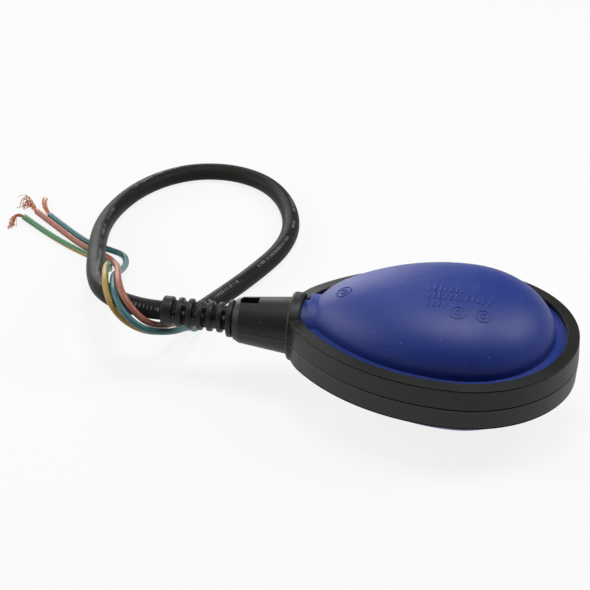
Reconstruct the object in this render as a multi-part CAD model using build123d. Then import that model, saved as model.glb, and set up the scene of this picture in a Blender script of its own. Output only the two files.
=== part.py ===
from build123d import *
import math
import os

os.makedirs("parts", exist_ok=True)

# Cable float switch. Sizes are in millimetres.
# The float lies on its lower dome. +X runs from the cable end to the nose, +Z is up,
# z = 0 is the surface that it lies on, and x = 0, y = 0 is the middle of the clamping frame.
# Most shapes are drawn about the middle of the frame's ring, on the parting plane of the two halves,
# and place() then moves them into the part's own frame.

# Clamping frame: an egg-shaped ring with a round neck, in two like halves
ring_length = 130.0
ring_width = 102.8
tail_radius = 32.0
side_radius = 93.0
ring_half_height = 9.7
rim_rise = 0.5
rim_width = 5.3
frame_wall = 2.8
frame_draft = 0.5
rim_groove_depth = 0.5
rim_groove_height = 0.45
rim_edge_height = 0.2
parting_chamfer = 0.35
collar_inset = 0.6
collar_radius = 15.7
collar_width = 5.5
collar_round = 1.3
neck_length = 24.8
neck_end_radius = 10.6
neck_root_radius = 13.3
neck_chamfer_length = 2.6
neck_mouth_radius = 9.3
neck_bore_radius = 8.7
neck_lip_width = 2.2
window_length = 8.6
window_width = 5.4
window_corner = 1.8
window_lip = 2.2
peg_radius = 0.8
peg_length = 1.4
peg_root = 0.2
nose_peg_angle = 80.0
neck_peg_inset = 12.0

# Float body: two welded half shells with a stepped neck
shell_wall = 2.0
band_half_height = 7.8
shoulder_width = 10.4
dome_height = 24.0
dome_power = 2.4
crown_x = 12.0
crown_flat_share = 0.18
neck_big_radius = 15.7
neck_big_length = 7.0
neck_step_radius = 12.5
neck_step_length = 6.2
neck_tube_radius = 8.4
post_radius = 3.5

# Strain relief on the cable
relief_radius = 7.0
relief_rib_pitch = 4.7
relief_slot_width = 2.3
relief_rib_count = 5
relief_collar_width = 4.8
relief_disc_radius = 8.6
relief_disc_width = 2.5
relief_disc_gap = 0.9
relief_spigot_radius = 7.0
relief_head_radius = 8.5
relief_head_width = 3.1
relief_web_width = 3.2
relief_web_turn = 12.0
relief_edge_round = 0.6

# Cable and its three cores
cable_diameter = 9.0
core_diameter = 3.1
core_pitch_radius = 2.1
bundle_diameter = 1.4
wisp_diameter = 0.5
jacket_stub = 2.4
tail_lead = 11.0
tail_spread = 1.4
tail_approach = 0.5

# Seal and pull stop inside the neck
seal_radius = 6.6
seal_length = 10.0
neck_wall = 3.0
washer_width = 2.3
crimp_radius = 6.1
crimp_width = 4.5
crimp_slit = 0.8

# Switch unit
carrier_thickness = 2.0
carrier_width = 34.0
carrier_corner = 4.0
carrier_back_margin = 5.0
carrier_nose_margin = 9.4
carrier_top = -12.5
post_inset_x = 5.5
post_inset_y = 5.0
ball_radius = 8.0
ball_travel = 20.0
tube_wall = 1.6
tube_play = 0.3
tube_start = 1.6
plug_depth = 2.5
plug_flange = 1.5
saddle_width = 4.0
saddle_inset = 4.0
saddle_reach = 9.0
saddle_drop = 4.0
snap_wall = 1.5
snap_hook = 0.8
snap_hook_height = 1.2
snap_back_inset = 3.0
snap_front_inset = 4.0
snap_hook_inset = 2.0
screw_radius = 1.4
screw_thread_depth = 0.15
screw_head_radius = 2.7
screw_head_height = 1.8
screw_recess_width = 0.6
screw_recess_length = 3.4
screw_recess_depth = 0.8
screw_length = 8.0
screw_tip_gap = 0.6

# Snap-action switch, of the common 27.8 by 15.9 by 10.3 size
case_depth = 15.9
case_width = 10.3
case_height = 27.8
case_wall = 1.2
case_front_x = -4.1
plunger_radius = 1.2
plunger_collar_radius = 1.8
plunger_collar_width = 1.0
plunger_z = -2.0
lever_thickness = 0.5
lever_width = 4.6
lever_front_x = -2.05
lever_pivot_z = -9.0
lever_tip_z = 8.0
lever_pin_radius = 0.5
lever_pin_length = 8.6
lever_pin_offset = 0.25
lever_pin_end = 0.3
ear_width = 1.2
ear_reach = 0.4
ear_half_height = 1.4
blade_thickness = 0.3
blade_width = 4.0
blade_gap = 3.2
blade_foot_length = 3.0
blade_top_gap = 1.2
contact_lap = 0.8
contact_gap = 1.6
terminal_thickness = 0.6
terminal_width = 4.8
terminal_reach = 4.6
terminal_heights = (-8.0, 3.0, 12.0)

# Clearances
slip = 0.05
fit_gap = 0.2
touch_gap = 0.1

# How far a cutting or joining shape reaches past the edge that it works on
overcut = 1.0

# Places worked out from the sizes above
nose_radius = ring_width / 2
nose_x = ring_length / 2 - nose_radius
tail_x = tail_radius - ring_length / 2
frame_length = ring_length + neck_length
ring_x = neck_length / 2
band_inset = frame_wall + fit_gap
rim_top = ring_half_height + rim_rise
crown_drop = math.sqrt(1.0 - crown_flat_share**dome_power)
float_half_height = band_half_height + dome_height * crown_drop
neck_end_x = -ring_length / 2 - neck_length
collar_left = -ring_length / 2 + collar_inset
collar_right = collar_left + collar_width
neck_step_left = -ring_length / 2 + band_inset
neck_big_left = neck_step_left + neck_step_length
neck_big_right = neck_big_left + neck_big_length
cable_radius = cable_diameter / 2
relief_head_left = neck_end_x + neck_lip_width + slip
relief_head_right = relief_head_left + relief_head_width
washer_left = relief_head_right + slip
neck_tube_left = washer_left + washer_width + slip
relief_disc_right = neck_end_x - relief_disc_gap
relief_disc_left = relief_disc_right - relief_disc_width
relief_body_length = relief_rib_count * relief_rib_pitch + relief_slot_width
relief_collar_right = relief_disc_left - relief_body_length
relief_end_x = relief_collar_right - relief_collar_width
neck_wall_x = neck_tube_left + seal_length + slip
neck_floor_x = neck_wall_x + neck_wall
crimp_left = neck_floor_x + slip
crimp_right = crimp_left + crimp_width
jacket_inner_end_x = crimp_right + jacket_stub
case_back_x = case_front_x - case_depth
case_bottom = carrier_top + touch_gap
case_top = case_bottom + case_height
ball_rest_x = lever_front_x + slip + ball_radius
tube_radius = ball_radius + tube_play
tube_z = tube_play - slip
tube_left = ball_rest_x - ball_radius + tube_start
plug_left = ball_rest_x + ball_travel + ball_radius + touch_gap
tube_right = plug_left + plug_depth
plug_right = tube_right + plug_flange
carrier_left = case_back_x - carrier_back_margin
carrier_right = tube_right + carrier_nose_margin
carrier_bottom = carrier_top - carrier_thickness
lever_back_x = lever_front_x - lever_thickness
lever_pin_x = lever_back_x - lever_pin_offset


def place(shape):
    """Move a shape from the ring's middle into the part's own frame."""
    return Pos(ring_x, 0, float_half_height) * shape


def save(shape, name):
    export_step(place(shape), f"parts/{name}.step")


def egg_face(z, inset=0.0, share=1.0):
    """Egg outline of four tangent arcs, inset evenly or scaled about the crown."""
    nose_r = (nose_radius - inset) * share
    tail_r = (tail_radius - inset) * share
    side_r = (side_radius - inset) * share
    nose_c = crown_x + (nose_x - crown_x) * share
    tail_c = crown_x + (tail_x - crown_x) * share
    spacing = nose_c - tail_c
    reach_nose = side_r - nose_r
    reach_tail = side_r - tail_r
    along = (reach_tail**2 - reach_nose**2 + spacing**2) / (2 * spacing)
    side_c = Vector(tail_c + along, -math.sqrt(reach_tail**2 - along**2))
    to_nose = (Vector(nose_c, 0) - side_c).normalized()
    to_tail = (Vector(tail_c, 0) - side_c).normalized()
    nose_up = side_c + to_nose * side_r
    tail_up = side_c + to_tail * side_r
    nose_down = Vector(nose_up.X, -nose_up.Y)
    tail_down = Vector(tail_up.X, -tail_up.Y)
    side_up = side_c + (to_nose + to_tail).normalized() * side_r
    side_down = Vector(side_up.X, -side_up.Y)
    nose_arc = ThreePointArc(nose_down, Vector(nose_c + nose_r, 0), nose_up)
    up_arc = ThreePointArc(nose_up, side_up, tail_up)
    tail_arc = ThreePointArc(tail_up, Vector(tail_c - tail_r, 0), tail_down)
    down_arc = ThreePointArc(tail_down, side_down, nose_down)
    return Pos(0, 0, z) * make_face([nose_arc, up_arc, tail_arc, down_arc])


def egg_prism(z0, z1, inset=0.0):
    return extrude(egg_face(z0, inset), amount=z1 - z0)


def rod_x(radius, x0, x1, y=0.0, z=0.0):
    """Round bar along X."""
    return Pos((x0 + x1) / 2, y, z) * Rot(0, 90, 0) * Cylinder(radius, x1 - x0)


def block(x0, x1, y0, y1, z0, z1):
    size = Box(x1 - x0, y1 - y0, z1 - z0)
    return Pos((x0 + x1) / 2, (y0 + y1) / 2, (z0 + z1) / 2) * size


def half_space():
    """Everything above the parting plane that a half shell could fill."""
    reach = frame_length
    return Pos(0, 0, reach) * Box(4 * reach, 2 * reach, 2 * reach)


def dome(base_z, inset):
    """Egg-based dome whose wall starts upright and rounds over to a small flat crown."""
    steps = (0.0, 11.0, 22.0, 34.0, 46.0, 58.0, 69.0, 77.0)
    last = math.degrees(math.acos(crown_flat_share ** (dome_power / 2)))
    sections = []
    for step in steps + (last,):
        turn = math.radians(step)
        share = math.cos(turn) ** (2 / dome_power)
        height = base_z + dome_height * math.sin(turn)
        sections.append(egg_face(height, inset, share))
    return loft(sections)


# Half frame: ring with an inward rim, collar and tapered neck
def frame_half():
    wall_sections = [egg_face(0, -frame_draft), egg_face(ring_half_height)]
    ring = loft(wall_sections, ruled=True)
    rim_sections = [egg_face(ring_half_height), egg_face(rim_top, rim_width)]
    ring += loft(rim_sections, ruled=True)
    groove_top = ring_half_height - rim_edge_height
    groove = egg_prism(groove_top - rim_groove_height, groove_top, -frame_wall)
    groove -= egg_prism(0.0, ring_half_height, rim_groove_depth)
    ring -= groove
    chamfer_cut = loft(
        [egg_face(0, parting_chamfer - frame_draft), egg_face(parting_chamfer, -frame_draft)],
        ruled=True,
    )
    ring -= egg_prism(-overcut, parting_chamfer, -frame_wall) - chamfer_cut
    ring -= egg_prism(-overcut, rim_top + overcut, rim_width)

    collar = rod_x(collar_radius, collar_left, collar_right)
    collar = fillet(collar.edges().filter_by(GeomType.CIRCLE), collar_round)
    chamfer_x = neck_end_x + neck_chamfer_length
    neck_root_x = collar_left + collar_round
    profile = Polyline(
        (neck_end_x, 0),
        (neck_end_x, neck_mouth_radius),
        (chamfer_x, neck_end_radius),
        (neck_root_x, neck_root_radius),
        (neck_root_x, 0),
        close=True,
    )
    neck = revolve(make_face(profile), Axis.X)
    neck += collar
    neck &= half_space()
    neck_flank = collar_right - neck_end_x
    half = ring + neck

    half -= egg_prism(-overcut, band_half_height + fit_gap, frame_wall)
    bore_start = neck_end_x + neck_lip_width
    half -= rod_x(relief_spigot_radius + fit_gap, neck_end_x - overcut, bore_start + overcut)
    half -= rod_x(neck_bore_radius, bore_start, neck_step_left)
    step_room = neck_step_radius + 2 * fit_gap
    half -= rod_x(step_room, neck_step_left - fit_gap, collar_right + neck_flank)
    window_left = neck_end_x + window_lip
    window_y = window_width / 2
    window = block(window_left, window_left + window_length, -window_y, window_y, 0.0, collar_radius)
    window = fillet(window.edges().filter_by(Axis.Z).group_by(Axis.X)[0], window_corner)
    half -= window

    # Pegs on one side and sockets on the other, so that both halves come from one mould
    nose_turn = math.radians(nose_peg_angle)
    wall_middle = nose_radius - frame_wall / 2
    nose_seat = (nose_x + wall_middle * math.cos(nose_turn), wall_middle * math.sin(nose_turn))
    neck_seat = (neck_end_x + neck_peg_inset, (neck_bore_radius + neck_root_radius) / 2)
    peg_height = peg_length + 2 * peg_root
    for seat_x, seat_y in (nose_seat, neck_seat):
        half += Pos(seat_x, seat_y, peg_root - peg_length / 2) * Cylinder(peg_radius, peg_height)
        half -= Pos(seat_x, -seat_y, 0) * Cylinder(peg_radius + slip, 2 * (peg_length + fit_gap))
    return half


# Half shell of the float: band, dome and half of the stepped neck
def shell_outside():
    outside = egg_prism(0, band_half_height, band_inset)
    outside += dome(band_half_height, shoulder_width)
    outside += rod_x(neck_big_radius, neck_big_left, neck_big_right) & half_space()
    outside += rod_x(neck_step_radius, neck_step_left, neck_big_left + overcut) & half_space()
    outside += rod_x(neck_tube_radius, neck_tube_left, neck_step_left + overcut) & half_space()
    return outside


def shell_cavity():
    cavity_top = band_half_height - shell_wall
    cavity = egg_prism(-overcut, cavity_top, band_inset + shell_wall)
    cavity += dome(cavity_top, shoulder_width + shell_wall)
    tube_inner_right = neck_step_left + shell_wall + overcut
    cavity += rod_x(neck_big_radius - shell_wall, neck_big_left + shell_wall, neck_big_right)
    cavity += rod_x(neck_step_radius - shell_wall, neck_step_left + shell_wall, neck_big_right)
    cavity += rod_x(neck_tube_radius - shell_wall, neck_floor_x, tube_inner_right)
    cavity += rod_x(cable_radius + fit_gap, neck_wall_x - overcut, neck_floor_x + overcut)
    cavity += rod_x(seal_radius, neck_tube_left - overcut, neck_wall_x)
    return cavity


outer = shell_outside()
upper_shell = outer - shell_cavity()
lower_shell = mirror(upper_shell, Plane.XY)

# Screw posts for the switch carrier, moulded with the lower shell
lower_outer = mirror(outer, Plane.XY)
post_y = carrier_width / 2 - post_inset_y
post_places = []
for post_x in (carrier_left + post_inset_x, carrier_right - post_inset_x):
    post_places.append((post_x, -post_y))
    post_places.append((post_x, post_y))
post_depth = float_half_height + carrier_bottom
for place_x, place_y in post_places:
    post = Pos(place_x, place_y, carrier_bottom - post_depth / 2) * Cylinder(post_radius, post_depth)
    lower_shell += post & lower_outer
pilot_radius = screw_radius - screw_thread_depth
pilot_z = carrier_bottom - screw_length / 2
for place_x, place_y in post_places:
    lower_shell -= Pos(place_x, place_y, pilot_z) * Cylinder(pilot_radius, screw_length)

save(upper_shell, "float_shell_upper")
save(lower_shell, "float_shell_lower")

frame_upper = frame_half()
save(frame_upper, "frame_upper")
save(Rot(180, 0, 0) * frame_upper, "frame_lower")


# Strain relief: sleeve of round-edged ribs, joined by webs that turn a quarter from slot to slot
def round_disc(radius, x0, x1):
    disc = rod_x(radius, x0, x1)
    return fillet(disc.edges().filter_by(GeomType.CIRCLE), relief_edge_round)


def strain_relief():
    body = round_disc(relief_radius, relief_end_x, relief_collar_right)
    body += round_disc(relief_disc_radius, relief_disc_left, relief_disc_right)
    body += rod_x(relief_spigot_radius, relief_disc_right - relief_edge_round, relief_head_left)
    body += rod_x(relief_head_radius, relief_head_left, relief_head_right)
    web_radius = relief_radius - relief_edge_round
    web_reach = relief_web_width / 2
    for number in range(relief_rib_count + 1):
        slot_left = relief_collar_right + number * relief_rib_pitch
        slot_right = slot_left + relief_slot_width
        web_left = slot_left - relief_edge_round
        web_right = slot_right + relief_edge_round
        web = block(web_left, web_right, -relief_radius, relief_radius, -web_reach, web_reach)
        web = Rot(relief_web_turn + 90.0 * (number % 2), 0, 0) * web
        body += web & rod_x(web_radius, web_left, web_right)
        if number < relief_rib_count:
            body += round_disc(relief_radius, slot_right, slot_left + relief_rib_pitch)
    body -= rod_x(cable_radius + slip, relief_end_x - overcut, relief_head_right + overcut)
    return body


save(strain_relief(), "strain_relief")


# Seal bush, its pressure washer and the pull stop, all round the cable in the neck
def ring_x_axis(outer_r, inner_r, x0, x1):
    return rod_x(outer_r, x0, x1) - rod_x(inner_r, x0 - overcut, x1 + overcut)


seal = ring_x_axis(seal_radius - slip, cable_radius + slip, neck_tube_left, neck_wall_x - slip)
save(seal, "cable_seal")
washer_radius = neck_bore_radius - fit_gap
washer = ring_x_axis(washer_radius, cable_radius + fit_gap, washer_left, neck_tube_left - slip)
save(washer, "gland_washer")
crimp = ring_x_axis(crimp_radius, cable_radius + slip, crimp_left, crimp_right)
slit_y = crimp_slit / 2
crimp -= block(crimp_left - overcut, crimp_right + overcut, -slit_y, slit_y, 0.0, neck_big_radius)
save(crimp, "crimp_ring")


# Switch carrier: screwed plate with two saddles for the ball tube and a snap pocket for the switch
def switch_carrier():
    half_width = carrier_width / 2
    plate = block(carrier_left, carrier_right, -half_width, half_width, carrier_bottom, carrier_top)
    plate = fillet(plate.edges().filter_by(Axis.Z), carrier_corner)
    saddle_top = tube_z - saddle_drop
    for saddle_x in (tube_left + saddle_inset, tube_right - saddle_inset - saddle_width):
        saddle_right = saddle_x + saddle_width
        plate += block(saddle_x, saddle_right, -saddle_reach, saddle_reach, carrier_top, saddle_top)
    snap_left = case_back_x + snap_back_inset
    snap_right = case_front_x - snap_front_inset
    hook_low = case_top + slip
    for side in (-1, 1):
        inner_y = side * (case_width / 2 + slip)
        outer_y = inner_y + side * snap_wall
        near_y, far_y = sorted((inner_y, outer_y))
        plate += block(snap_left, snap_right, near_y, far_y, carrier_top, hook_low)
        near_y, far_y = sorted((inner_y - side * snap_hook, outer_y))
        hook_left = snap_left + snap_hook_inset
        hook_right = snap_right - snap_hook_inset
        plate += block(hook_left, hook_right, near_y, far_y, hook_low, hook_low + snap_hook_height)
    plate -= rod_x(tube_radius + tube_wall + slip, tube_left, carrier_right, 0.0, tube_z)
    screw_hole = Cylinder(screw_radius + fit_gap, 3 * carrier_thickness)
    for place_x, place_y in post_places:
        plate -= Pos(place_x, place_y, carrier_top) * screw_hole
    return plate


save(switch_carrier(), "switch_carrier")

screws = []
for place_x, place_y in post_places:
    head = Pos(0, 0, screw_head_height / 2) * Cylinder(screw_head_radius, screw_head_height)
    recess = Box(screw_recess_width, screw_recess_length, 2 * screw_recess_depth)
    head -= Pos(0, 0, screw_head_height) * recess
    head -= Pos(0, 0, screw_head_height) * Rot(0, 0, 90) * recess
    shank_length = carrier_thickness + screw_length - screw_tip_gap
    shank = Pos(0, 0, -shank_length / 2) * Cylinder(pilot_radius - slip, shank_length)
    screws.append(Pos(place_x, place_y, carrier_top) * (head + shank))
save(Compound(children=screws), "carrier_screws")

# Ball tube with a plug at the nose end, and the steel ball that rolls in it
tube = rod_x(tube_radius + tube_wall, tube_left, tube_right, 0.0, tube_z)
tube -= rod_x(tube_radius, tube_left - overcut, tube_right + overcut, 0.0, tube_z)
save(tube, "ball_tube")
plug = rod_x(tube_radius - slip, plug_left, plug_right, 0.0, tube_z)
plug += rod_x(tube_radius + tube_wall, tube_right + slip, plug_right, 0.0, tube_z)
plug -= rod_x(tube_radius - tube_wall, plug_left + plug_flange, plug_right + overcut, 0.0, tube_z)
save(plug, "ball_tube_plug")
save(Pos(ball_rest_x, 0, 0) * Sphere(ball_radius), "ball")


# Snap-action switch: hollow case, cover, plunger, hinged lever, contact blade and three terminals
def switch_case():
    half_width = case_width / 2
    case = block(case_back_x, case_front_x, -half_width, half_width, case_bottom, case_top)
    inner_left = case_back_x + case_wall
    inner_right = case_front_x - case_wall
    inner_low = case_bottom + case_wall
    inner_high = case_top - case_wall
    inner_y = case_wall - half_width
    case -= block(inner_left, inner_right, inner_y, half_width + overcut, inner_low, inner_high)
    case -= rod_x(plunger_radius + slip, inner_right - overcut, case_front_x + overcut, 0.0, plunger_z)
    for height in terminal_heights:
        low = height - terminal_thickness / 2 - slip
        high = height + terminal_thickness / 2 + slip
        side = terminal_width / 2 + slip
        case -= block(case_back_x - overcut, inner_left + overcut, -side, side, low, high)
    ear_front = lever_front_x + ear_reach
    ear_low = lever_pivot_z - ear_half_height
    ear_high = lever_pivot_z + ear_half_height
    for side in (-1, 1):
        outer_y = side * lever_pin_length / 2
        near_y, far_y = sorted((outer_y, outer_y - side * ear_width))
        case += block(case_front_x, ear_front, near_y, far_y, ear_low, ear_high)
    pin_hole = Rot(90, 0, 0) * Cylinder(lever_pin_radius + slip, 2 * case_width)
    case -= Pos(lever_pin_x, 0, lever_pivot_z) * pin_hole
    return case


save(switch_case(), "switch_case")

cover = block(
    case_back_x + case_wall + slip,
    case_front_x - case_wall - slip,
    case_width / 2 - case_wall,
    case_width / 2,
    case_bottom + case_wall + slip,
    case_top - case_wall - slip,
)
save(cover, "switch_cover")

blade_x = case_front_x - case_wall - blade_gap
plunger_back_x = blade_x + blade_thickness + touch_gap
plunger = rod_x(plunger_radius, plunger_back_x, lever_back_x - touch_gap, 0.0, plunger_z)
plunger_tip = plunger.edges().filter_by(GeomType.CIRCLE).sort_by(Axis.X)[-1]
plunger = fillet(plunger_tip, plunger_radius / 2)
collar_reach = plunger_back_x + plunger_collar_width
plunger += rod_x(plunger_collar_radius, plunger_back_x, collar_reach, 0.0, plunger_z)
save(plunger, "switch_plunger")

lever = block(
    lever_back_x,
    lever_front_x,
    -lever_width / 2,
    lever_width / 2,
    lever_pivot_z,
    lever_tip_z,
)
curl = Rot(90, 0, 0) * Cylinder(lever_pin_radius + slip + lever_thickness, lever_width)
lever += Pos(lever_pin_x, 0, lever_pivot_z) * curl
curl_bore = Rot(90, 0, 0) * Cylinder(lever_pin_radius + slip, 2 * lever_width)
lever -= Pos(lever_pin_x, 0, lever_pivot_z) * curl_bore
save(lever, "switch_lever")
pin = Rot(90, 0, 0) * Cylinder(lever_pin_radius, lever_pin_length + 2 * lever_pin_end)
save(Pos(lever_pin_x, 0, lever_pivot_z) * pin, "lever_pin")

blade_low = terminal_heights[0] + terminal_thickness / 2 + slip
blade_high = case_top - case_wall - blade_top_gap
blade_y = blade_width / 2
blade = block(blade_x, blade_x + blade_thickness, -blade_y, blade_y, blade_low, blade_high)
blade_foot = blade_low + blade_thickness
foot_left = blade_x - blade_foot_length
blade += block(foot_left, blade_x, -blade_y, blade_y, blade_low, blade_foot)
save(blade, "contact_blade")

terminal_ends = (blade_x + contact_lap, blade_x - contact_gap, blade_x - touch_gap)
terminal_names = ("terminal_common", "terminal_open", "terminal_closed")
for name, height, end_x in zip(terminal_names, terminal_heights, terminal_ends):
    low = height - terminal_thickness / 2
    high = height + terminal_thickness / 2
    half_width = terminal_width / 2
    terminal = block(case_back_x - terminal_reach, end_x, -half_width, half_width, low, high)
    save(terminal, name)


# Cable and cores. Points are in the part's own frame, chosen by hand along the real run.
def runs_and_arcs(points, share=0.45):
    """Straight runs joined by arcs as large as the shorter run at each point allows."""
    corners = [Vector(*point) for point in points]
    radii = []
    for before, corner, after in zip(corners, corners[1:], corners[2:]):
        turn = (corner - before).get_angle(after - corner)
        run = min((corner - before).length, (after - corner).length)
        radii.append(share * run / math.tan(math.radians(turn) / 2))
    return FilletPolyline(*corners, radius=radii), radii


def tube_along(points, diameter, name):
    """Round tube along a run of points. Its length and bend radii are printed."""
    line, radii = runs_and_arcs(points)
    first = Vector(*points[0])
    start = Plane(origin=first, z_dir=Vector(*points[1]) - first)
    tube_solid = sweep(start * Circle(diameter / 2), path=line)
    section = math.pi * (diameter / 2) ** 2
    filled = tube_solid.volume / (section * line.length)
    listed = " ".join(f"{radius:.0f}" for radius in radii)
    print(f"{name}: length {line.length:.1f}, volume ratio {filled:.4f}, radii {listed}")
    return tube_solid


axis_z = float_half_height
cable_points = [
    (jacket_inner_end_x + ring_x, 0, axis_z),
    (-122, 0, axis_z),
    (-135, 5, 31.2),
    (-146, 16.5, 29),
    (-153.8, 35, 25.2),
    (-160.5, 59, 19.4),
    (-167.5, 86, 12.8),
    (-172.5, 112, 7.6),
    (-172.8, 136, 4.8),
    (-167, 158.5, 4.5),
    (-155.5, 177, 4.5),
    (-139, 189, 4.5),
    (-118.5, 191, 4.5),
    (-99.5, 182, 4.5),
    (-85.5, 163, 4.5),
    (-77.5, 138, 4.5),
    (-78.5, 113, 4.5),
    (-86.5, 89, 4.5),
    (-95.5, 67, 4.5),
    (-104.5, 48, 4.5),
]
export_step(tube_along(cable_points, cable_diameter, "cable"), "parts/cable.step")

brown_points = [
    (-104.8, 47.4, 6.6),
    (-107.8, 38, 6.2),
    (-108.6, 27, 8.5),
    (-107.8, 18, 15.5),
    (-112.6, 2.4, 21.4),
    (-118.2, -7.2, 28.8),
    (-124.4, -7.6, 35.4),
    (-130.4, -2.4, 40.2),
    (-135.2, 9, 41),
    (-140, 26.5, 35.6),
    (-147.6, 48.5, 24.2),
    (-155.3, 72, 10.4),
    (-159, 85.5, 2.6),
    (-164.5, 92, 1.6),
    (-177, 97.5, 1.6),
    (-193.5, 111.5, 1.6),
    (-213.4, 129.7, 1.6),
]
blue_points = [
    (-103.2, 46.6, 3.5),
    (-103.4, 37, 3.5),
    (-103, 27, 6),
    (-104, 18.5, 12.8),
    (-108, 2, 19.2),
    (-116, -9, 25.2),
    (-123.8, -11.4, 31),
    (-131.2, -5.5, 36),
    (-136.4, 4.5, 38.6),
    (-141.6, 24, 32.7),
    (-145.4, 44, 22),
    (-149, 66.5, 11),
    (-152.5, 85.5, 3.2),
    (-156.5, 95.5, 1.6),
    (-165, 99, 1.6),
    (-176.5, 102.3, 1.6),
    (-190.5, 113.4, 1.6),
    (-205.5, 127.3, 1.6),
]
green_points = [
    (-106.5, 48.2, 3.5),
    (-110.4, 37.5, 3.2),
    (-112.5, 25, 5),
    (-113.5, 13, 12),
    (-120, 0, 19),
    (-128, -5.2, 26.2),
    (-134.8, -4.2, 33.2),
    (-139.4, 3, 37.8),
    (-142.2, 12.5, 38.8),
    (-145.4, 24, 35.9),
    (-148.2, 38, 30.2),
    (-153.6, 58.3, 15.4),
    (-158.8, 76, 3.8),
    (-163.5, 86, 1.6),
    (-173, 90.5, 1.6),
    (-187, 98.5, 1.6),
    (-202.5, 109.5, 1.6),
    (-218, 122.5, 1.6),
]
core_routes = {"brown": brown_points, "blue": blue_points, "green": green_points}
for colour, points in core_routes.items():
    name = f"{colour}_core"
    export_step(tube_along(points, core_diameter, name), f"parts/{name}.step")

# Bare copper at the end of each core: a twisted bundle and, on two of them, a loose wisp beside it
brown_bundle = [(-213.6, 129.9, 1.6), (-217.6, 135.6, 2.2), (-221.6, 138.4, 1.6), (-223.2, 131.6, 1.1)]
brown_wisp = [(-213.9, 131.2, 2.2), (-217.2, 138.2, 2.0), (-220.4, 142.8, 1.0)]
blue_bundle = [(-205.7, 127.5, 1.6), (-209.3, 132.2, 2.0), (-212.4, 139.6, 1.8), (-213.5, 146.9, 1.2)]
green_bundle = [(-218.6, 122.9, 1.6), (-222, 124.2, 2.2), (-223.2, 118.2, 1.6), (-221, 109.4, 1.1)]
green_wisp = [(-219.1, 121.8, 1.9), (-220.3, 117.2, 1.4), (-216.4, 106.6, 0.6)]
bundles = {"brown": brown_bundle, "blue": blue_bundle, "green": green_bundle}
wisps = {"brown": brown_wisp, "green": green_wisp}
for colour, points in bundles.items():
    name = f"{colour}_strands"
    strands = [tube_along(points, bundle_diameter, name)]
    if colour in wisps:
        strands.append(tube_along(wisps[colour], wisp_diameter, name))
    export_step(Compound(children=strands), f"parts/{name}.step")

# Core tails inside the float, from the jacket's inner end to the terminals
tail_names = ("brown_tail", "blue_tail", "green_tail")
tail_angles = (90.0, 210.0, 330.0)
low_height, middle_height, high_height = terminal_heights
tail_heights = (high_height, low_height, middle_height)
tail_start_x = jacket_inner_end_x + fit_gap
tail_end_x = case_back_x - terminal_reach - fit_gap
for name, angle, to_z in zip(tail_names, tail_angles, tail_heights):
    turn = math.radians(angle)
    from_y = core_pitch_radius * math.cos(turn)
    from_z = core_pitch_radius * math.sin(turn)
    route = [
        (tail_start_x, from_y, from_z),
        (tail_start_x + tail_lead, tail_spread * from_y, tail_spread * from_z),
        (tail_end_x - tail_lead, tail_approach * from_y, to_z - tail_approach),
        (tail_end_x, 0, to_z),
    ]
    moved = [(x + ring_x, y, z + axis_z) for x, y, z in route]
    export_step(tube_along(moved, core_diameter, name), f"parts/{name}.step")
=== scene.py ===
import math
import random

import bmesh
import bpy
from mathutils import Matrix, Vector
from mathutils.bvhtree import BVHTree


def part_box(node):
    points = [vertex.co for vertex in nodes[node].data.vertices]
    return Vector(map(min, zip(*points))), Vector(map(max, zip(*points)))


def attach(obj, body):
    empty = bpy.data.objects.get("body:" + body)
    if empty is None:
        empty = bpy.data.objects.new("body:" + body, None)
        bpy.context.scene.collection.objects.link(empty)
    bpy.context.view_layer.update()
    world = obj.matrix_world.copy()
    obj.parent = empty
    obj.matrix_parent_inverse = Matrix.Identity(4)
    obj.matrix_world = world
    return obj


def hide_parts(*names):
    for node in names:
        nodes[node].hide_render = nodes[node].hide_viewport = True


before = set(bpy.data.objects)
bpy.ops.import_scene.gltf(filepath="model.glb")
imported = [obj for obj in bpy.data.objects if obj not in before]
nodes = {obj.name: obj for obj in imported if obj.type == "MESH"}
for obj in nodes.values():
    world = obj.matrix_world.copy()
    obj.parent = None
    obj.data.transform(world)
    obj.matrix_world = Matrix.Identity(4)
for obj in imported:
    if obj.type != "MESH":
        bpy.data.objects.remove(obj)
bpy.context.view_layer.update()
scene = bpy.context.scene


# Camera: looks down on the float from its side, slightly from the nose end, with a long lens,
# so that near and far sides of the frame keep almost the same scale.
camera_turn = math.radians(10.336)
camera_height = math.radians(31.0)
camera_roll = math.radians(1.262)
camera_distance = 0.89515
camera_right = -0.06153
camera_up = 0.0212
ring_middle = Vector((0.0126, 0.0, 0.0316))
level_right = Vector((math.cos(camera_turn), math.sin(camera_turn), 0.0))
back = Vector(
    (
        math.sin(camera_turn) * math.cos(camera_height),
        -math.cos(camera_turn) * math.cos(camera_height),
        math.sin(camera_height),
    )
)
level_up = back.cross(level_right)
right = math.cos(camera_roll) * level_right + math.sin(camera_roll) * level_up
up = math.cos(camera_roll) * level_up - math.sin(camera_roll) * level_right
camera_data = bpy.data.cameras.new("camera")
camera_data.sensor_width = 36.0
camera_data.lens = 122.03
camera_data.clip_start = 0.05
camera_data.clip_end = 20.0
camera = bpy.data.objects.new("camera", camera_data)
scene.collection.objects.link(camera)
camera_place = ring_middle + right * camera_right + up * camera_up + back * camera_distance
camera_axes = Matrix((right, up, back)).transposed().to_4x4()
camera.matrix_world = Matrix.Translation(camera_place) @ camera_axes
scene.camera = camera


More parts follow.
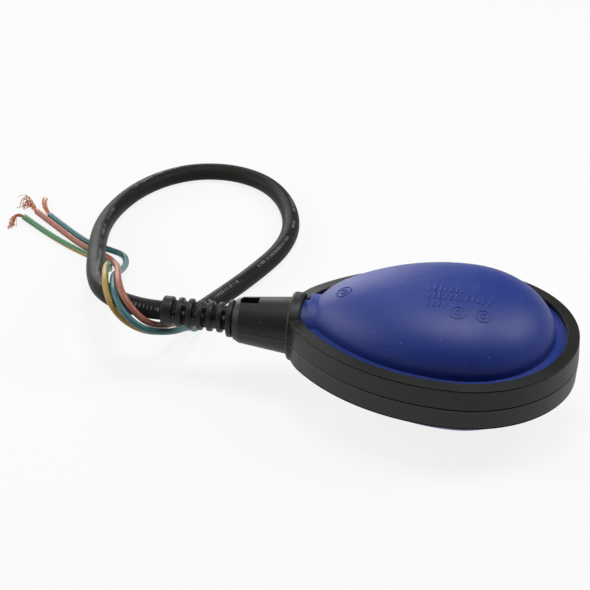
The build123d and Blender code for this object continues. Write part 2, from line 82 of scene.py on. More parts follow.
# Cable: smooth dark rubber jacket, 9 mm thick. It leaves the neck through the strain relief, bends down
# to the table and lies there in one loose loop. Its jacket is cut off square behind the strain relief.
def centreline(points):
    """Evenly smooth points along the line that these control points, in millimetres, guide."""
    data = bpy.data.curves.new("route", "CURVE")
    data.dimensions = "3D"
    data.resolution_u = 16
    spline = data.splines.new("NURBS")
    spline.points.add(len(points) - 1)
    for control, (x, y, z) in zip(spline.points, points):
        control.co = (x / 1000, y / 1000, z / 1000, 1.0)
    spline.order_u = 3
    spline.use_endpoint_u = True
    route = bpy.data.objects.new("route", data)
    scene.collection.objects.link(route)
    bpy.context.view_layer.update()
    mesh = bpy.data.meshes.new_from_object(route)
    line = [vertex.co.copy() for vertex in mesh.vertices]
    bpy.data.objects.remove(route)
    bpy.data.curves.remove(data)
    bpy.data.meshes.remove(mesh)
    kept = [line[0]]
    for point in line[1:]:
        if (point - kept[-1]).length > 1e-6:
            kept.append(point)
    return kept


def frames_along(line, away_from=None):
    """For each point of a line: its distance, its place and two directions square to the line.
    The first faces away from the given point, or turns with the line as little as it can."""
    found = []
    side = None
    run = 0.0
    for number, place in enumerate(line):
        before = line[max(number - 1, 0)]
        after = line[min(number + 1, len(line) - 1)]
        ahead = (after - before).normalized()
        if number:
            run += (place - before).length
        if away_from is not None:
            side = place - away_from
        elif side is None:
            side = Vector((0, 0, 1)) if abs(ahead.z) < 0.9 else Vector((0, 1, 0))
        side = (side - ahead * side.dot(ahead)).normalized()
        found.append((run, place, side, ahead.cross(side)))
    return found


def tube(name, line, radius, sides=32, away_from=None):
    """Round tube along a line. Its UV holds the distance along it in metres and the turn round it, which
    is one half on the side that faces away from the given point."""
    mesh = bpy.data.meshes.new(name)
    shape = bmesh.new()
    uv = shape.loops.layers.uv.new("UVMap")
    rings = []
    for run, place, side, top in frames_along(line, away_from):
        ring = []
        for step in range(sides):
            turn = 2 * math.pi * step / sides
            spoke = side * math.cos(turn) + top * math.sin(turn)
            ring.append(shape.verts.new(place - spoke * radius))
        rings.append((run, ring))
    for (run_a, ring_a), (run_b, ring_b) in zip(rings, rings[1:]):
        for step in range(sides):
            other = (step + 1) % sides
            face = shape.faces.new((ring_a[step], ring_b[step], ring_b[other], ring_a[other]))
            face.smooth = True
            low, high = step / sides, (step + 1) / sides
            for loop, place in zip(face.loops, ((run_a, low), (run_b, low), (run_b, high), (run_a, high))):
                loop[uv].uv = place
    shape.faces.new(rings[0][1])
    shape.faces.new(list(reversed(rings[-1][1])))
    bmesh.ops.recalc_face_normals(shape, faces=shape.faces)
    shape.to_mesh(mesh)
    shape.free()
    piece = bpy.data.objects.new(name, mesh)
    scene.collection.objects.link(piece)
    return piece


def material(name, roughness=0.5, specular=0.5):
    """New material, with its node tree and its shader."""
    made = bpy.data.materials.new(name)
    made.use_nodes = True
    shader = made.node_tree.nodes["Principled BSDF"]
    shader.inputs["Roughness"].default_value = roughness
    shader.inputs["Specular IOR Level"].default_value = specular
    return made, made.node_tree, shader


def node(tree, kind, **values):
    """New node. The values are its settings or, with a space for each underscore, its inputs."""
    made = tree.nodes.new(kind)
    for name, value in values.items():
        if hasattr(made, name):
            setattr(made, name, value)
        else:
            made.inputs[name.replace("_", " ")].default_value = value
    return made


def maths(tree, operation, *values):
    """Output of a Math node whose inputs are numbers or other nodes' outputs."""
    made = tree.nodes.new("ShaderNodeMath")
    made.operation = operation
    for socket, value in zip(made.inputs, values):
        if isinstance(value, (int, float)):
            socket.default_value = value
        else:
            tree.links.new(value, socket)
    return made.outputs[0]


def between(tree, value, low, high):
    """1 where a value lies between two bounds, otherwise 0."""
    return maths(tree, "COMPARE", value, (low + high) / 2, (high - low) / 2)


def ramp(tree, value, low, high, first=0.0, last=1.0):
    """Goes from the first to the last number as a value goes from low to high, and no further."""
    made = node(tree, "ShaderNodeMapRange", From_Min=low, From_Max=high, To_Min=first, To_Max=last)
    tree.links.new(value, made.inputs["Value"])
    return made.outputs["Result"]


def mixed(tree, share, first, second):
    """First colour blended toward the second, a plain colour, by a share."""
    made = tree.nodes.new("ShaderNodeMix")
    made.data_type = "RGBA"
    tree.links.new(share, made.inputs["Factor"])
    tree.links.new(first, made.inputs["A"])
    made.inputs["B"].default_value = (*second, 1)
    return made.outputs["Result"]


def surface_group():
    """Fine grain, cloudy tone and specks of dust, shared by every moulded or drawn plastic and rubber."""
    group = bpy.data.node_groups.new("moulded_surface", "ShaderNodeTree")
    face = group.interface
    for name, kind, value in (
        ("Colour", "NodeSocketColor", (0.5, 0.5, 0.5, 1)),
        ("Cloud Colour", "NodeSocketColor", (0.5, 0.5, 0.5, 1)),
        ("Cloud Amount", "NodeSocketFloat", 0.3),
        ("Cloud Size", "NodeSocketFloat", 40.0),
        ("Grain Size", "NodeSocketFloat", 2500.0),
        ("Dust", "NodeSocketFloat", 0.0),
        ("Dust Colour", "NodeSocketColor", (0.5, 0.5, 0.5, 1)),
        ("Roughness", "NodeSocketFloat", 0.5),
        ("Roughness Spread", "NodeSocketFloat", 0.1),
    ):
        socket = face.new_socket(name, in_out="INPUT", socket_type=kind)
        socket.default_value = value
    for name, kind in (
        ("Colour", "NodeSocketColor"),
        ("Roughness", "NodeSocketFloat"),
        ("Height", "NodeSocketFloat"),
    ):
        face.new_socket(name, in_out="OUTPUT", socket_type=kind)
    enter = group.nodes.new("NodeGroupInput")
    leave = group.nodes.new("NodeGroupOutput")
    place = group.nodes.new("ShaderNodeTexCoord")
    link = group.links.new

    cloud = node(group, "ShaderNodeTexNoise", Detail=5.0, Roughness=0.6)
    link(place.outputs["Object"], cloud.inputs["Vector"])
    link(enter.outputs["Cloud Size"], cloud.inputs["Scale"])
    spread = ramp(group, cloud.outputs["Fac"], 0.35, 0.7)
    share = maths(group, "MULTIPLY", spread, enter.outputs["Cloud Amount"])
    toned = node(group, "ShaderNodeMix", data_type="RGBA")
    link(share, toned.inputs["Factor"])
    link(enter.outputs["Colour"], toned.inputs["A"])
    link(enter.outputs["Cloud Colour"], toned.inputs["B"])

    speck = node(group, "ShaderNodeTexVoronoi", Scale=420.0)
    link(place.outputs["Object"], speck.inputs["Vector"])
    near = ramp(group, speck.outputs["Distance"], 0.16, 0.08)
    chosen = node(group, "ShaderNodeSeparateColor")
    link(speck.outputs["Color"], chosen.inputs["Color"])
    rare = maths(group, "LESS_THAN", chosen.outputs["Red"], enter.outputs["Dust"])
    dust = maths(group, "MULTIPLY", near, rare)
    dusted = node(group, "ShaderNodeMix", data_type="RGBA")
    link(dust, dusted.inputs["Factor"])
    link(toned.outputs["Result"], dusted.inputs["A"])
    link(enter.outputs["Dust Colour"], dusted.inputs["B"])
    link(dusted.outputs["Result"], leave.inputs["Colour"])

    uneven = (spread, enter.outputs["Roughness Spread"], enter.outputs["Roughness"])
    link(maths(group, "MULTIPLY_ADD", *uneven), leave.inputs["Roughness"])

    grain = node(group, "ShaderNodeTexNoise", Detail=2.0, Roughness=0.5)
    link(place.outputs["Object"], grain.inputs["Vector"])
    link(enter.outputs["Grain Size"], grain.inputs["Scale"])
    link(maths(group, "ADD", grain.outputs["Fac"], dust), leave.inputs["Height"])
    return group


def edge_group():
    """Normal that rounds off sharp edges, and a mask that is 1 on them."""
    group = bpy.data.node_groups.new("soft_edges", "ShaderNodeTree")
    radius = group.interface.new_socket("Radius", in_out="INPUT", socket_type="NodeSocketFloat")
    radius.default_value = 0.0005
    group.interface.new_socket("Normal", in_out="OUTPUT", socket_type="NodeSocketVector")
    group.interface.new_socket("Edge", in_out="OUTPUT", socket_type="NodeSocketFloat")
    enter = group.nodes.new("NodeGroupInput")
    leave = group.nodes.new("NodeGroupOutput")
    rounded = group.nodes.new("ShaderNodeBevel")
    rounded.samples = 4
    group.links.new(enter.outputs["Radius"], rounded.inputs["Radius"])
    flat = group.nodes.new("ShaderNodeNewGeometry")
    match = group.nodes.new("ShaderNodeVectorMath")
    match.operation = "DOT_PRODUCT"
    group.links.new(rounded.outputs["Normal"], match.inputs[0])
    group.links.new(flat.outputs["Normal"], match.inputs[1])
    group.links.new(rounded.outputs["Normal"], leave.inputs["Normal"])
    group.links.new(ramp(group, match.outputs["Value"], 0.99, 0.8), leave.inputs["Edge"])
    return group


moulded_surface = surface_group()
soft_edges = edge_group()


def moulded(name, colour, cloud_colour, grain_height, specular=0.5, painted_edge_highlight=None, **values):
    """Plastic or rubber with the shared surface group. Values are the group's inputs. With a painted edge
    highlight, sharp edges are rounded off and take that lighter colour, which paints a highlight along them."""
    made, tree, shader = material(name, specular=specular)
    surface = tree.nodes.new("ShaderNodeGroup")
    surface.node_tree = moulded_surface
    surface.inputs["Colour"].default_value = (*colour, 1)
    surface.inputs["Cloud Colour"].default_value = (*cloud_colour, 1)
    for key, value in values.items():
        surface.inputs[key.replace("_", " ")].default_value = value
    bump = tree.nodes.new("ShaderNodeBump")
    bump.inputs["Distance"].default_value = grain_height
    tone = surface.outputs["Colour"]
    # Painted highlight: sharp edges are blended toward a lighter colour.
    if painted_edge_highlight:
        edges = tree.nodes.new("ShaderNodeGroup")
        edges.node_tree = soft_edges
        tree.links.new(edges.outputs["Normal"], bump.inputs["Normal"])
        tone = mixed(tree, edges.outputs["Edge"], tone, painted_edge_highlight)
    tree.links.new(surface.outputs["Height"], bump.inputs["Height"])
    tree.links.new(tone, shader.inputs["Base Color"])
    tree.links.new(surface.outputs["Roughness"], shader.inputs["Roughness"])
    tree.links.new(bump.outputs["Normal"], shader.inputs["Normal"])
    return made, tree, shader


def recolour(tree, shader, share, colour):
    """Blends a colour over what a shader's base colour has already."""
    old = shader.inputs["Base Color"].links[0].from_socket
    tree.links.new(mixed(tree, share, old, colour), shader.inputs["Base Color"])


def run_and_turn(tree):
    """Distance along a tube and turn round it, from its UV."""
    place = tree.nodes.new("ShaderNodeUVMap")
    split = tree.nodes.new("ShaderNodeSeparateXYZ")
    tree.links.new(place.outputs["UV"], split.inputs["Vector"])
    return split.outputs["X"], split.outputs["Y"]


jacket_radius = 0.0045
cable_route = [
    (-49.6, 0, 31.6),
    (-109, 0, 31.6),
    (-122, 0, 31.6),
    (-135, 5, 31.2),
    (-146, 16.5, 29),
    (-153.8, 35, 25.2),
    (-160.5, 59, 19.4),
    (-167.5, 86, 12.8),
    (-172.5, 112, 7.6),
    (-172.8, 136, 4.8),
    (-167, 158.5, 4.5),
    (-155.5, 177, 4.5),
    (-139, 189, 4.5),
    (-118.5, 191, 4.5),
    (-99.5, 182, 4.5),
    (-85.5, 163, 4.5),
    (-77.5, 138, 4.5),
    (-78.5, 113, 4.5),
    (-86.5, 89, 4.5),
    (-95.5, 67, 4.5),
    (-104.5, 48, 4.5),
]
cable_line = centreline(cable_route)
under_loop = Vector((-0.13, 0.11, -0.12))
cable = tube("rubber_cable", cable_line, jacket_radius, sides=40, away_from=under_loop)
jacket_rubber, tree, shader = moulded(
    "jacket_rubber",
    (0.0195, 0.0215, 0.018),
    (0.029, 0.031, 0.027),
    0.00002,
    specular=0.06,
    Cloud_Size=70.0,
    Grain_Size=1500.0,
    Dust=0.03,
    Dust_Colour=(0.12, 0.12, 0.115, 1),
    Roughness=0.4,
    Roughness_Spread=0.12,
)
run, turn = run_and_turn(tree)

# A line of plain grey dashes runs along the jacket. Their lengths vary, and now and then a group of them
# is left out.
dash_pitch = 0.0017
dash_shortest = 0.1
dash_spread = 0.6
dashes_in_group = 5.0
left_out = 0.3
along = maths(tree, "DIVIDE", run, dash_pitch)
chance = node(tree, "ShaderNodeTexWhiteNoise", noise_dimensions="1D")
tree.links.new(maths(tree, "FLOOR", along), chance.inputs["W"])
group_chance = node(tree, "ShaderNodeTexWhiteNoise", noise_dimensions="1D")
group_number = maths(tree, "FLOOR", maths(tree, "DIVIDE", along, dashes_in_group))
tree.links.new(group_number, group_chance.inputs["W"])
dash_length = maths(tree, "MULTIPLY_ADD", chance.outputs["Value"], dash_spread, dash_shortest)
group_kept = maths(tree, "GREATER_THAN", group_chance.outputs["Value"], left_out)
dash_length = maths(tree, "MULTIPLY", dash_length, group_kept)
dash = maths(tree, "LESS_THAN", maths(tree, "FRACT", along), dash_length)

# The line turns round the jacket as the cable twists: one way as it comes down, and back along the loop.
dash_height = 0.055
dash_share = 0.8
turn_at_relief = 0.44
turn_in_bend = 0.64
turn_at_end = 0.5
coming_down = ramp(tree, run, 0.06, 0.14, turn_at_relief, turn_in_bend)
along_loop = ramp(tree, run, 0.2, 0.33, turn_in_bend, turn_at_end)
off_line = maths(tree, "SUBTRACT", turn, maths(tree, "MINIMUM", coming_down, along_loop))
on_line = between(tree, off_line, -dash_height / 2, dash_height / 2)
dashes = maths(tree, "MULTIPLY", dash, on_line)
recolour(tree, shader, maths(tree, "MULTIPLY", dashes, dash_share), (0.2, 0.21, 0.21))
cable.data.materials.append(jacket_rubber)
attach(cable, "float")
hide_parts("cable")

neck_mouth = (-0.0774, 0.0, 0.0316)


# Cores: three insulated wires laid free of the jacket, 3.1 mm thick. They pass under the cable,
# hook over it beside the strain relief and run out under its loop. One is green with a yellow stripe.
core_radius = 0.00155
core_routes = {
    "brown": [
        (-104.8, 47.4, 6.6),
        (-107.8, 38, 6.2),
        (-108.6, 27, 8.5),
        (-107.8, 18, 15.5),
        (-112.6, 2.4, 21.4),
        (-118.2, -7.2, 28.8),
        (-124.4, -7.6, 35.4),
        (-130.4, -2.4, 40.2),
        (-135.2, 9, 41),
        (-140, 26.5, 35.6),
        (-147.6, 48.5, 24.2),
        (-155.3, 72, 10.4),
        (-159, 85.5, 2.6),
        (-164.5, 92, 1.6),
        (-177, 97.5, 1.6),
        (-193.5, 111.5, 1.6),
        (-213.4, 129.7, 1.6),
    ],
    "blue": [
        (-103.2, 46.6, 3.5),
        (-103.4, 37, 3.5),
        (-103, 27, 6),
        (-104, 18.5, 12.8),
        (-108, 2, 19.2),
        (-116, -9, 25.2),
        (-123.8, -11.4, 31),
        (-131.2, -5.5, 36),
        (-136.4, 4.5, 38.6),
        (-141.6, 24, 32.7),
        (-145.4, 44, 22),
        (-149, 66.5, 11),
        (-152.5, 85.5, 3.2),
        (-156.5, 95.5, 1.6),
        (-165, 99, 1.6),
        (-176.5, 102.3, 1.6),
        (-190.5, 113.4, 1.6),
        (-205.5, 127.3, 1.6),
    ],
    "green": [
        (-106.5, 48.2, 3.5),
        (-110.4, 37.5, 3.2),
        (-112.5, 25, 5),
        (-113.5, 13, 12),
        (-120, 0, 19),
        (-128, -5.2, 26.2),
        (-134.8, -4.2, 33.2),
        (-139.4, 3, 37.8),
        (-142.2, 12.5, 38.8),
        (-145.4, 24, 35.9),
        (-148.2, 38, 30.2),
        (-153.6, 58.3, 15.4),
        (-158.8, 76, 3.8),
        (-163.5, 86, 1.6),
        (-173, 90.5, 1.6),
        (-187, 98.5, 1.6),
        (-202.5, 109.5, 1.6),
        (-218, 122.5, 1.6),
    ],
}
core_colours = {
    "brown": ((0.34, 0.115, 0.075), (0.4, 0.16, 0.11)),
    "blue": ((0.035, 0.13, 0.14), (0.07, 0.2, 0.21)),
    "green": ((0.04, 0.19, 0.075), (0.07, 0.25, 0.11)),
}
core_lengths = {"brown": 0.252, "blue": 0.254, "green": 0.246}
behind_cores = Vector((-0.1, 0.12, -0.04))
stripe_half = 0.2
stripe_turn = 0.5
stripe_tip_turn = 0.1
twist_start = 0.14
core_pieces = {}
for colour, route in core_routes.items():
    line = centreline(route)
    core = tube(f"{colour}_wire", line, core_radius, sides=24, away_from=behind_cores)
    plain, cloud = core_colours[colour]
    insulation, tree, shader = moulded(
        f"{colour}_insulation",
        plain,
        cloud,
        0.00001,
        specular=0.4,
        Cloud_Size=120.0,
        Grain_Size=900.0,
        Roughness=0.36,
        Roughness_Spread=0.15,
    )
    if colour == "green":
        run, turn = run_and_turn(tree)
        middle = ramp(tree, run, twist_start, core_lengths[colour], stripe_turn, stripe_tip_turn)
        away = maths(tree, "SUBTRACT", turn, middle)
        stripe = between(tree, maths(tree, "WRAP", away, 0.5, -0.5), -stripe_half, stripe_half)
        recolour(tree, shader, stripe, (0.4, 0.235, 0.05))
    core.data.materials.append(insulation)
    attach(core, "float")
    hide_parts(f"{colour}_core")
    core_pieces[colour] = (core, line)


# Bare copper: about thirty fine wires at each core's end, loosely twisted where they leave the insulation
# and frayed at the tips.
def metal_group():
    """Uneven tone of drawn, turned or stamped metal, between a dark and a light colour."""
    group = bpy.data.node_groups.new("metal_tone", "ShaderNodeTree")
    for name, kind, value in (
        ("Dark", "NodeSocketColor", (0.5, 0.5, 0.5, 1)),
        ("Light", "NodeSocketColor", (0.6, 0.6, 0.6, 1)),
        ("Tone Size", "NodeSocketFloat", 300.0),
        ("Detail", "NodeSocketFloat", 3.0),
        ("Low", "NodeSocketFloat", 0.35),
        ("High", "NodeSocketFloat", 0.65),
    ):
        socket = group.interface.new_socket(name, in_out="INPUT", socket_type=kind)
        socket.default_value = value
    group.interface.new_socket("Colour", in_out="OUTPUT", socket_type="NodeSocketColor")
    enter = group.nodes.new("NodeGroupInput")
    leave = group.nodes.new("NodeGroupOutput")
    tone = group.nodes.new("ShaderNodeTexNoise")
    group.links.new(enter.outputs["Tone Size"], tone.inputs["Scale"])
    group.links.new(enter.outputs["Detail"], tone.inputs["Detail"])
    share = group.nodes.new("ShaderNodeMapRange")
    group.links.new(tone.outputs["Fac"], share.inputs["Value"])
    group.links.new(enter.outputs["Low"], share.inputs["From Min"])
    group.links.new(enter.outputs["High"], share.inputs["From Max"])
    blend = node(group, "ShaderNodeMix", data_type="RGBA")
    group.links.new(share.outputs["Result"], blend.inputs["Factor"])
    group.links.new(enter.outputs["Dark"], blend.inputs["A"])
    group.links.new(enter.outputs["Light"], blend.inputs["B"])
    group.links.new(blend.outputs["Result"], leave.inputs["Colour"])
    return group


metal_tone = metal_group()


def metal(name, dark, light, roughness, metallic=1.0, **values):
    """Metal with the shared tone group. Values are the group's inputs."""
    made, tree, shader = material(name, roughness=roughness)
    shader.inputs["Metallic"].default_value = metallic
    tone = tree.nodes.new("ShaderNodeGroup")
    tone.node_tree = metal_tone
    tone.inputs["Dark"].default_value = (*dark, 1)
    tone.inputs["Light"].default_value = (*light, 1)
    for key, value in values.items():
        tone.inputs[key.replace("_", " ")].default_value = value
    tree.links.new(tone.outputs["Colour"], shader.inputs["Base Color"])
    return made


wire_radius = 0.00014
wires_each = 30
wire_parts = 18
wire_sides = 6
stray = 0.003
copper_routes = {
    "brown": [(-213.4, 129.7, 1.6), (-217.6, 135.6, 2.2), (-221.6, 138.4, 1.6), (-223.2, 131.6, 1.1)],
    "blue": [(-205.5, 127.3, 1.6), (-209.3, 132.2, 2.0), (-212.4, 139.6, 1.8), (-213.5, 146.9, 1.2)],
    "green": [(-218, 122.5, 1.6), (-222, 124.2, 2.2), (-223.2, 118.2, 1.6), (-221, 109.4, 1.1)],
}
copper_spread = {"brown": 0.0075, "blue": 0.001, "green": 0.005}
bundle_radius = {"brown": 0.00062, "blue": 0.00085, "green": 0.00066}
loose_share = {"brown": 0.5, "blue": 0.12, "green": 0.5}
bundle_twist = 5.0
fray_power = 2.2
curl_power = 1.3
bare_copper = metal(
    "bare_copper",
    (0.46, 0.165, 0.085),
    (0.72, 0.33, 0.19),
    0.42,
    metallic=0.6,
    Tone_Size=700.0,
    Detail=2.0,
    Low=0.3,
    High=0.7,
)
draw = random.Random(11)
for colour, route in copper_routes.items():
    low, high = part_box(f"{colour}_strands")
    middle_line = centreline(route)
    runs = frames_along(middle_line)
    total = runs[-1][0]
    strands = bmesh.new()
    for number in range(wires_each):
        start = draw.uniform(0, 2 * math.pi)
        inner = bundle_radius[colour] * math.sqrt(draw.random())
        splay = draw.uniform(0.2, 1.0) ** 2 * copper_spread[colour]
        away = draw.uniform(0, 2 * math.pi)
        reach = draw.uniform(0.72, 1.0)
        curl = 0.0
        if draw.random() < loose_share[colour]:
            curl = draw.uniform(0.6, 1.0) * copper_spread[colour]
        curl_turns = draw.uniform(2.0, 6.0)
        line = []
        for run, place, side, top in runs[:: max(1, len(runs) // wire_parts)]:
            share = run / total
            if share > reach:
                break
            turn = start + bundle_twist * share
            twist = (side * math.cos(turn) + top * math.sin(turn)) * inner * (1 + share)
            fray = (side * math.cos(away) + top * math.sin(away)) * splay * share ** fray_power
            bend = share ** curl_power * curl * math.sin(away + curl_turns * share)
            spot = place + twist + fray + side * bend
            spot.x = min(max(spot.x, low[0] - stray), high[0] + stray)
            spot.y = min(max(spot.y, low[1] - stray), high[1] + stray)
            spot.z = max(spot.z, low[2] + wire_radius)
            line.append(spot)
        wire = tube("wire", line, wire_radius, sides=wire_sides)
        strands.from_mesh(wire.data)
        bpy.data.meshes.remove(wire.data)
    mesh = bpy.data.meshes.new(f"{colour}_copper")
    strands.to_mesh(mesh)
    strands.free()
    copper = bpy.data.objects.new(f"{colour}_copper", mesh)
    scene.collection.objects.link(copper)
    mesh.materials.append(bare_copper)
    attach(copper, "float")
    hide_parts(f"{colour}_strands")
    core, line = core_pieces[colour]


# Clamping frame: two like halves moulded in black plastic with a fine grain, snapped round the float's
# band and round the head of the strain relief.
def carve(tree, shader, height, depth):
    """Adds relief to a shader: where the height is 1, the surface stands out by the depth in metres."""
    bump = tree.nodes.new("ShaderNodeBump")
    bump.inputs["Distance"].default_value = depth
    tree.links.new(height, bump.inputs["Height"])
    tree.links.new(shader.inputs["Normal"].links[0].from_socket, bump.inputs["Normal"])
    tree.links.new(bump.outputs["Normal"], shader.inputs["Normal"])


def finish_nodes(made, names):
    """Gives each of these pieces one material in place of its own."""
    for name in names:
        slots = nodes[name].data.materials
        slots.clear()
        slots.append(made)


# Its sharp edges carry a painted highlight in a lighter grey.
frame_plastic, tree, shader = moulded(
    "frame_plastic",
    (0.0125, 0.0142, 0.0115),
    (0.019, 0.0207, 0.0172),
    0.00004,
    specular=0.34,
    painted_edge_highlight=(0.045, 0.047, 0.043),
    Cloud_Size=60.0,
    Grain_Size=2200.0,
    Dust=0.05,
    Dust_Colour=(0.12, 0.12, 0.11, 1),
    Roughness=0.4,
    Roughness_Spread=0.1,
)
place = tree.nodes.new("ShaderNodeTexCoord")
split = tree.nodes.new("ShaderNodeSeparateXYZ")
tree.links.new(place.outputs["Object"], split.inputs["Vector"])
seam_height = neck_mouth[2]
seam_half = 0.0003
seam_depth = 0.0002
# A narrow band just under the dark seam is painted lighter: a painted highlight where the lower half's edge
# catches the light.
highlight_height = 0.0009
highlight_share = 0.5
seam_low = seam_height - seam_half
seam = between(tree, split.outputs["Z"], seam_low, seam_height + seam_half)
seam_highlight = between(tree, split.outputs["Z"], seam_low - highlight_height, seam_low)
recolour(tree, shader, maths(tree, "MULTIPLY", seam_highlight, highlight_share), (0.05, 0.052, 0.048))
recolour(tree, shader, seam, (0.002, 0.002, 0.002))
carve(tree, shader, maths(tree, "SUBTRACT", 1.0, seam), seam_depth)
finish_nodes(frame_plastic, ("frame_upper", "frame_lower"))


# Strain relief: a slotted sleeve of soft black plastic. Its ribs let it bend, and its head is held in
# the frame's neck.
# Its sharp edges carry a painted highlight in a lighter grey.
relief_rubber = moulded(
    "relief_rubber",
    (0.0125, 0.0142, 0.0115),
    (0.022, 0.0238, 0.02),
    0.00004,
    specular=0.34,
    painted_edge_highlight=(0.05, 0.052, 0.048),
    Cloud_Size=90.0,
    Grain_Size=1800.0,
    Dust=0.08,
    Dust_Colour=(0.13, 0.13, 0.125, 1),
    Roughness=0.38,
    Roughness_Spread=0.14,
)[0]
finish_nodes(relief_rubber, ("strain_relief",))


# Float: two half shells moulded in matte blue plastic and welded at their bands. The surface is finely
# grained and holds a little dust.
# Its sharp edges carry a painted highlight in a lighter blue.
float_plastic = moulded(
    "float_plastic",
    (0.0075, 0.0275, 0.215),
    (0.01, 0.034, 0.24),
    0.00009,
    painted_edge_highlight=(0.02, 0.05, 0.27),
    Cloud_Size=30.0,
    Grain_Size=2600.0,
    Dust=0.12,
    Dust_Colour=(0.08, 0.12, 0.36, 1),
    Roughness=0.45,
    Roughness_Spread=0.06,
)[0]
finish_nodes(float_plastic, ("float_shell_upper", "float_shell_lower"))


# Raised mould marks on the upper dome: two plain rows of ticks, a short third row and three plain rings,
# each a low ridge with sloping sides.
mark_height = 0.00025
mark_root = 0.0002
mark_width = 0.0009
mark_top_share = 0.6
above_dome = 0.1


def ridge(shape, dome, line, closed=False):
    """Low ridge on the dome along a line of plan points."""
    ribs = []
    for number, (x, y) in enumerate(line):
        place, normal, _, _ = dome.ray_cast(Vector((x, y, above_dome)), Vector((0, 0, -1)))
        after = line[(number + 1) % len(line)] if closed else line[min(number + 1, len(line) - 1)]
        before = line[number - 1] if closed or number else line[0]
        ahead = Vector((after[0] - before[0], after[1] - before[1], 0.0))
        across = ahead.cross(normal).normalized() * mark_width / 2
        top = across * mark_top_share
        rib = [place - across - normal * mark_root, place - top + normal * mark_height]
        rib += [place + top + normal * mark_height, place + across - normal * mark_root]
        ribs.append([shape.verts.new(corner) for corner in rib])
    pairs = list(zip(ribs, ribs[1:]))
    if closed:
        pairs.append((ribs[-1], ribs[0]))
    else:
        shape.faces.new(ribs[0])
        shape.faces.new(ribs[-1])
    for near, far in pairs:
        for corner in range(4):
            other = (corner + 1) % 4
            shape.faces.new((near[corner], near[other], far[other], far[corner]))


# Each row's left end, number of ticks, low end and height, and each ring's middle and radius
tick_rows = (
    (0.0105, 7, -0.0072, 0.0036),
    (0.0108, 12, -0.0128, 0.0036),
    (0.0113, 4, -0.0178, 0.0032),
)
mark_rings = (
    (0.0247, -0.0203, 0.0033),
    (0.0358, -0.0198, 0.0031),
    (-0.0277, -0.0040, 0.0031),
)
tick_pitch = 0.0024
short_tick_share = 0.6
tick_parts = 4
inner_ring_share = 0.4
ring_parts = 32
shell = nodes["float_shell_upper"].data
dome = BVHTree.FromPolygons([v.co for v in shell.vertices], [f.vertices for f in shell.polygons])
shape = bmesh.new()
for left, ticks, low, height in tick_rows:
    for number in range(ticks):
        x = left + number * tick_pitch
        reach = height if number % 3 else height * short_tick_share
        ridge(shape, dome, [(x, low + reach * part / tick_parts) for part in range(tick_parts + 1)])
for middle_x, middle_y, radius in mark_rings:
    for size in (radius, radius * inner_ring_share):
        turns = [2 * math.pi * step / ring_parts for step in range(ring_parts)]
        ring = [(middle_x + size * math.cos(turn), middle_y + size * math.sin(turn)) for turn in turns]
        ridge(shape, dome, ring, closed=True)
bmesh.ops.recalc_face_normals(shape, faces=shape.faces)
mesh = bpy.data.meshes.new("mould_marks")
shape.to_mesh(mesh)
shape.free()
mesh.materials.append(float_plastic)
mould_marks = bpy.data.objects.new("mould_marks", mesh)
scene.collection.objects.link(mould_marks)
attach(mould_marks, "float")


# Seal, washer and crimp ring: a soft rubber bush round the cable in the shell's neck, the nylon washer
# that presses it, and a brass pull stop crimped on the jacket behind the neck's inner wall.
seal_rubber = moulded("seal_rubber", (0.05, 0.05, 0.05), (0.07, 0.07, 0.07), 0.00002, Roughness=0.6)[0]
finish_nodes(seal_rubber, ("cable_seal",))
# The washer is coloured near black as painted shade, for the dark inside of the neck.
nylon_in_painted_shade = moulded("nylon_in_painted_shade", (0.02, 0.02, 0.02), (0.03, 0.03, 0.03), 0.00001, Roughness=0.4)[0]
finish_nodes(nylon_in_painted_shade, ("gland_washer",))
crimp_brass = metal("crimp_brass", (0.6, 0.44, 0.18), (0.75, 0.58, 0.27), 0.3)
finish_nodes(crimp_brass, ("crimp_ring",))


# Core tails: the same three insulated wires inside the float. They run from the jacket's inner end to the
# switch's terminals, where they are soldered.
for colour, (plain, cloud) in core_colours.items():
    tail = moulded(f"{colour}_tail_insulation", plain, cloud, 0.00001, Roughness=0.3)[0]
    finish_nodes(tail, (f"{colour}_tail",))


# Switch unit: a natural plastic carrier with the ball's tube, a steel ball and a snap-action switch
# with brass terminals.
carrier_plastic = moulded("carrier_plastic", (0.7, 0.7, 0.67), (0.78, 0.78, 0.75), 0.00002, Roughness=0.4)[0]
finish_nodes(carrier_plastic, ("switch_carrier", "ball_tube", "ball_tube_plug"))
plated_steel = metal("plated_steel", (0.5, 0.5, 0.5), (0.65, 0.65, 0.66), 0.28)
finish_nodes(plated_steel, ("carrier_screws", "switch_lever", "lever_pin"))
ball_steel = metal("ball_steel", (0.6, 0.6, 0.61), (0.72, 0.72, 0.73), 0.1)
finish_nodes(ball_steel, ("ball",))
switch_black = moulded("switch_black", (0.035, 0.035, 0.035), (0.05, 0.05, 0.05), 0.00002, Roughness=0.4)[0]
finish_nodes(switch_black, ("switch_case", "switch_cover"))
plunger_red = moulded("plunger_red", (0.6, 0.05, 0.04), (0.65, 0.08, 0.06), 0.00001, Roughness=0.35)[0]
finish_nodes(plunger_red, ("switch_plunger",))
stamped_brass = metal("stamped_brass", (0.65, 0.5, 0.24), (0.78, 0.62, 0.34), 0.25)
finish_nodes(stamped_brass, ("contact_blade", "terminal_common", "terminal_open", "terminal_closed"))


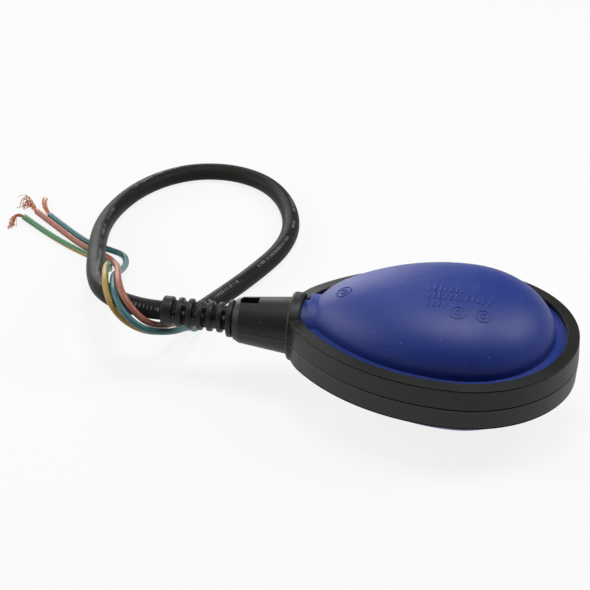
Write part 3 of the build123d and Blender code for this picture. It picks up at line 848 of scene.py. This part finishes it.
# Floor: a pale sheet that runs out of view. The camera and glossy surfaces see it nearly white,
# it keeps the float's soft shadow, and it is clear from below.
def see_white(tree, plain, share, strength):
    """Adds a white glow to a shader, for rays from the camera, gloss and glass only."""
    path = tree.nodes.new("ShaderNodeLightPath")
    seen = maths(tree, "MAXIMUM", path.outputs["Is Camera Ray"], path.outputs["Is Glossy Ray"])
    seen = maths(tree, "MAXIMUM", seen, path.outputs["Is Transmission Ray"])
    glow = tree.nodes.new("ShaderNodeEmission")
    glow.inputs["Strength"].default_value = strength
    both = tree.nodes.new("ShaderNodeMixShader")
    tree.links.new(maths(tree, "MULTIPLY", seen, share), both.inputs["Fac"])
    tree.links.new(plain.outputs[0], both.inputs[1])
    tree.links.new(glow.outputs[0], both.inputs[2])
    return both


floor_mesh = bpy.data.meshes.new("floor")
floor_reach = 6.0
floor_height = -0.0001
corners = [(-floor_reach, -floor_reach, floor_height), (floor_reach, -floor_reach, floor_height)]
corners += [(floor_reach, floor_reach, floor_height), (-floor_reach, floor_reach, floor_height)]
floor_mesh.from_pydata(corners, [], [(0, 1, 2, 3)])
floor = bpy.data.objects.new("floor", floor_mesh)
scene.collection.objects.link(floor)
floor_paper, tree, shader = material("floor_paper", roughness=0.9, specular=0.1)
shader.inputs["Base Color"].default_value = (0.7, 0.7, 0.7, 1)
out = tree.nodes["Material Output"]
lit_floor = see_white(tree, shader, 0.85, 1.0)
from_below = tree.nodes.new("ShaderNodeNewGeometry")
clear = tree.nodes.new("ShaderNodeBsdfTransparent")
one_sided = tree.nodes.new("ShaderNodeMixShader")
tree.links.new(from_below.outputs["Backfacing"], one_sided.inputs["Fac"])
tree.links.new(lit_floor.outputs[0], one_sided.inputs[1])
tree.links.new(clear.outputs[0], one_sided.inputs[2])
tree.links.new(one_sided.outputs[0], out.inputs["Surface"])
floor_mesh.materials.append(floor_paper)


# Light: soft lamps overhead, at the left, high at the right and low behind, with a faint even sky.
# None stands beside the camera, so the near side of every piece falls off to a deep tone.
def lamp(name, place, aim, width, height, power):
    """Soft rectangular lamp that faces a point."""
    data = bpy.data.lights.new(name, "AREA")
    data.shape = "RECTANGLE"
    data.size = width
    data.size_y = height
    data.energy = power
    made = bpy.data.objects.new(name, data)
    scene.collection.objects.link(made)
    made.location = place
    made.rotation_euler = (Vector(aim) - Vector(place)).to_track_quat("-Z", "Y").to_euler()


lamp("overhead_softbox", (0.0, 0.05, 1.1), (0.0, 0.0, 0.0), 0.4, 0.4, 6.5)
lamp("left_softbox", (-1.1, 0.0, 0.5), (0.0, 0.0, 0.03), 0.7, 0.7, 6.5)
lamp("right_softbox", (0.75, 0.35, 0.85), (0.0, 0.0, 0.03), 0.4, 0.4, 5.5)
lamp("back_softbox", (-0.75, 1.2, 0.4), (0.0, 0.0, 0.03), 0.9, 0.6, 8.5)
world = bpy.data.worlds.new("sky")
scene.world = world
world.use_nodes = True
sky_tree = world.node_tree
sky = sky_tree.nodes["Background"]
sky.inputs["Color"].default_value = (0.94, 0.96, 1.0, 1)
sky.inputs["Strength"].default_value = 0.07
path = sky_tree.nodes.new("ShaderNodeLightPath")
white = sky_tree.nodes.new("ShaderNodeBackground")
white.inputs["Color"].default_value = (1, 1, 1, 1)
white.inputs["Strength"].default_value = 1.0
both = sky_tree.nodes.new("ShaderNodeMixShader")
sky_tree.links.new(path.outputs["Is Camera Ray"], both.inputs["Fac"])
sky_tree.links.new(sky.outputs[0], both.inputs[1])
sky_tree.links.new(white.outputs[0], both.inputs[2])
sky_tree.links.new(both.outputs[0], sky_tree.nodes["World Output"].inputs["Surface"])
scene.view_settings.view_transform = "Standard"
